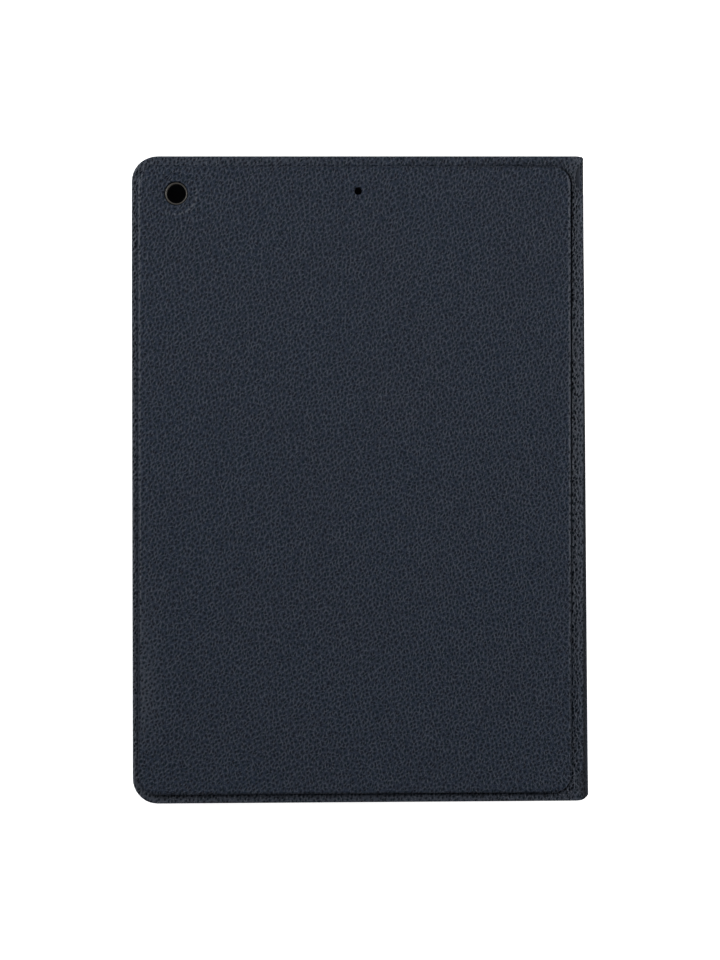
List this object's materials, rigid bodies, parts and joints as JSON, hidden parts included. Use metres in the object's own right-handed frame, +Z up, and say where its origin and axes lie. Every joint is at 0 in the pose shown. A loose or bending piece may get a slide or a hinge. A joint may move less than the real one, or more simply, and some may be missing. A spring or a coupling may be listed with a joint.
{
  "type": "tablet keyboard case",
  "caption": "Closed leather folio case for a tablet: keyboard in the front cover, tablet tray in the rear cover, spine with two folds and a fold-out stand panel on the back.",
  "frame": {"origin": "centre of the underside: the case lies closed on its front cover", "axes": "+X along the spine, away from the camera hole; +Y from the opening edge to the spine; +Z up, out of the rear cover"},
  "size_m": [0.2626, 0.1842, 0.0228],
  "materials": {
    "navy_leather": "pebbled navy synthetic leather, satin",
    "microfibre": "fine dark navy microfibre",
    "fibreboard": "stiff board",
    "magnet": "nickel-plated",
    "tray_plastic": "fine-textured navy moulding",
    "rim_plastic": "smooth warm grey moulding",
    "case_plastic": "fine-textured moulding",
    "key_plastic": "satin keycaps with light legends",
    "plate_metal": "sheet",
    "film": "translucent film",
    "battery_wrap": "foil pouch",
    "circuit_board": "green solder mask",
    "steel": "plated",
    "light_window": "milky",
    "tape": "double-sided tape",
    "rubber": "matt"
  },
  "bodies": {
    "front_cover": {"front_cover_skin": "navy_leather", "front_cover_board": "fibreboard", "front_closing_magnets": "magnet", "front_cover_lining": "microfibre", "keyboard_bottom_case": "case_plastic", "keyboard_top_frame": "case_plastic", "key_grid": "case_plastic", "status_light_windows": "light_window", "keyboard_screws": "steel", "mounting_tape": "tape", "screen_bumpers": "rubber", "key_support_plate": "plate_metal", "membrane_circuit": "film", "dome_sheet": "film", "battery_pack": "battery_wrap", "keyboard_pcb": "circuit_board", "charging_socket": "steel"},
    "spine": {"spine_skin": "navy_leather", "spine_board": "fibreboard", "spine_lining": "microfibre"},
    "rear_cover": {"rear_cover_skin": "navy_leather", "rear_cover_lining": "microfibre", "tablet_tray": "tray_plastic", "stand_keeper_magnets": "magnet", "tray_closing_magnets": "magnet", "tray_grip_pads": "rubber", "camera_rim": "rim_plastic", "stand_hinge_strip": "navy_leather"},
    "stand": {"stand_skin": "navy_leather", "stand_board": "fibreboard", "stand_magnets": "magnet", "stand_lining": "microfibre"},
    "power_switch": {"power_switch": "case_plastic"},
    "pairing_button": {"pairing_button": "case_plastic"},
    "key_arrow_down": {"key_arrow_down": "key_plastic"},
    "key_arrow_left": {"key_arrow_left": "key_plastic"},
    "key_arrow_right": {"key_arrow_right": "key_plastic"},
    "key_arrow_up": {"key_arrow_up": "key_plastic"},
    "key_backspace": {"key_backspace": "key_plastic"},
    "key_caps_lock": {"key_caps_lock": "key_plastic"},
    "key_return": {"key_return": "key_plastic"},
    "key_shift_left": {"key_shift_left": "key_plastic"},
    "key_shift_right": {"key_shift_right": "key_plastic"},
    "key_space": {"key_space": "key_plastic"},
    "key_tab": {"key_tab": "key_plastic"},
    "keys_bottom_letter_row": {"keys_bottom_letter_row": "key_plastic"},
    "keys_function_row": {"keys_function_row": "key_plastic"},
    "keys_home_letter_row": {"keys_home_letter_row": "key_plastic"},
    "keys_left_modifiers": {"keys_left_modifiers": "key_plastic"},
    "keys_number_row": {"keys_number_row": "key_plastic"},
    "keys_right_modifiers": {"keys_right_modifiers": "key_plastic"},
    "keys_top_letter_row": {"keys_top_letter_row": "key_plastic"}
  },
  "joints": [
    {"name": "front_fold", "type": "hinge", "parent": "front_cover", "child": "spine", "pos_m": [0, 0.0911, 0.0024], "axis": [-1, 0, 0], "range_deg": [0, 90]},
    {"name": "rear_fold", "type": "hinge", "parent": "spine", "child": "rear_cover", "pos_m": [0, 0.0911, 0.0204], "axis": [-1, 0, 0], "range_deg": [0, 90]},
    {"name": "stand_fold", "type": "hinge", "parent": "rear_cover", "child": "stand", "pos_m": [0, -0.09, 0.021], "axis": [1, 0, 0], "range_deg": [0, 75]},
    {"name": "power_switch_slide", "type": "slide", "parent": "front_cover", "child": "power_switch", "axis": [0, 1, 0], "range_m": [0, 0.0024]},
    {"name": "pairing_button_press", "type": "slide", "parent": "front_cover", "child": "pairing_button", "axis": [0, 0, -1], "range_m": [0, 0.0004], "stiffness_N_per_m": 800, "springref_m": -0.0005},
    {"name": "key_arrow_down_press", "type": "slide", "parent": "front_cover", "child": "key_arrow_down", "axis": [0, 0, -1], "range_m": [0, 0.0012], "stiffness_N_per_m": 300, "springref_m": -0.0006},
    {"name": "key_arrow_left_press", "type": "slide", "parent": "front_cover", "child": "key_arrow_left", "axis": [0, 0, -1], "range_m": [0, 0.0012], "stiffness_N_per_m": 300, "springref_m": -0.0006},
    {"name": "key_arrow_right_press", "type": "slide", "parent": "front_cover", "child": "key_arrow_right", "axis": [0, 0, -1], "range_m": [0, 0.0012], "stiffness_N_per_m": 300, "springref_m": -0.0006},
    {"name": "key_arrow_up_press", "type": "slide", "parent": "front_cover", "child": "key_arrow_up", "axis": [0, 0, -1], "range_m": [0, 0.0012], "stiffness_N_per_m": 300, "springref_m": -0.0006},
    {"name": "key_backspace_press", "type": "slide", "parent": "front_cover", "child": "key_backspace", "axis": [0, 0, -1], "range_m": [0, 0.0012], "stiffness_N_per_m": 300, "springref_m": -0.0006},
    {"name": "key_caps_lock_press", "type": "slide", "parent": "front_cover", "child": "key_caps_lock", "axis": [0, 0, -1], "range_m": [0, 0.0012], "stiffness_N_per_m": 300, "springref_m": -0.0006},
    {"name": "key_return_press", "type": "slide", "parent": "front_cover", "child": "key_return", "axis": [0, 0, -1], "range_m": [0, 0.0012], "stiffness_N_per_m": 300, "springref_m": -0.0006},
    {"name": "key_shift_left_press", "type": "slide", "parent": "front_cover", "child": "key_shift_left", "axis": [0, 0, -1], "range_m": [0, 0.0012], "stiffness_N_per_m": 300, "springref_m": -0.0006},
    {"name": "key_shift_right_press", "type": "slide", "parent": "front_cover", "child": "key_shift_right", "axis": [0, 0, -1], "range_m": [0, 0.0012], "stiffness_N_per_m": 300, "springref_m": -0.0006},
    {"name": "key_space_press", "type": "slide", "parent": "front_cover", "child": "key_space", "axis": [0, 0, -1], "range_m": [0, 0.0012], "stiffness_N_per_m": 300, "springref_m": -0.0006},
    {"name": "key_tab_press", "type": "slide", "parent": "front_cover", "child": "key_tab", "axis": [0, 0, -1], "range_m": [0, 0.0012], "stiffness_N_per_m": 300, "springref_m": -0.0006},
    {"name": "keys_bottom_letter_row_press", "type": "slide", "parent": "front_cover", "child": "keys_bottom_letter_row", "axis": [0, 0, -1], "range_m": [0, 0.0012], "stiffness_N_per_m": 3000, "springref_m": -0.0006},
    {"name": "keys_function_row_press", "type": "slide", "parent": "front_cover", "child": "keys_function_row", "axis": [0, 0, -1], "range_m": [0, 0.0012], "stiffness_N_per_m": 4200, "springref_m": -0.0006},
    {"name": "keys_home_letter_row_press", "type": "slide", "parent": "front_cover", "child": "keys_home_letter_row", "axis": [0, 0, -1], "range_m": [0, 0.0012], "stiffness_N_per_m": 3300, "springref_m": -0.0006},
    {"name": "keys_left_modifiers_press", "type": "slide", "parent": "front_cover", "child": "keys_left_modifiers", "axis": [0, 0, -1], "range_m": [0, 0.0012], "stiffness_N_per_m": 1200, "springref_m": -0.0006},
    {"name": "keys_number_row_press", "type": "slide", "parent": "front_cover", "child": "keys_number_row", "axis": [0, 0, -1], "range_m": [0, 0.0012], "stiffness_N_per_m": 3900, "springref_m": -0.0006},
    {"name": "keys_right_modifiers_press", "type": "slide", "parent": "front_cover", "child": "keys_right_modifiers", "axis": [0, 0, -1], "range_m": [0, 0.0012], "stiffness_N_per_m": 600, "springref_m": -0.0006},
    {"name": "keys_top_letter_row_press", "type": "slide", "parent": "front_cover", "child": "keys_top_letter_row", "axis": [0, 0, -1], "range_m": [0, 0.0012], "stiffness_N_per_m": 3900, "springref_m": -0.0006}
  ]
}
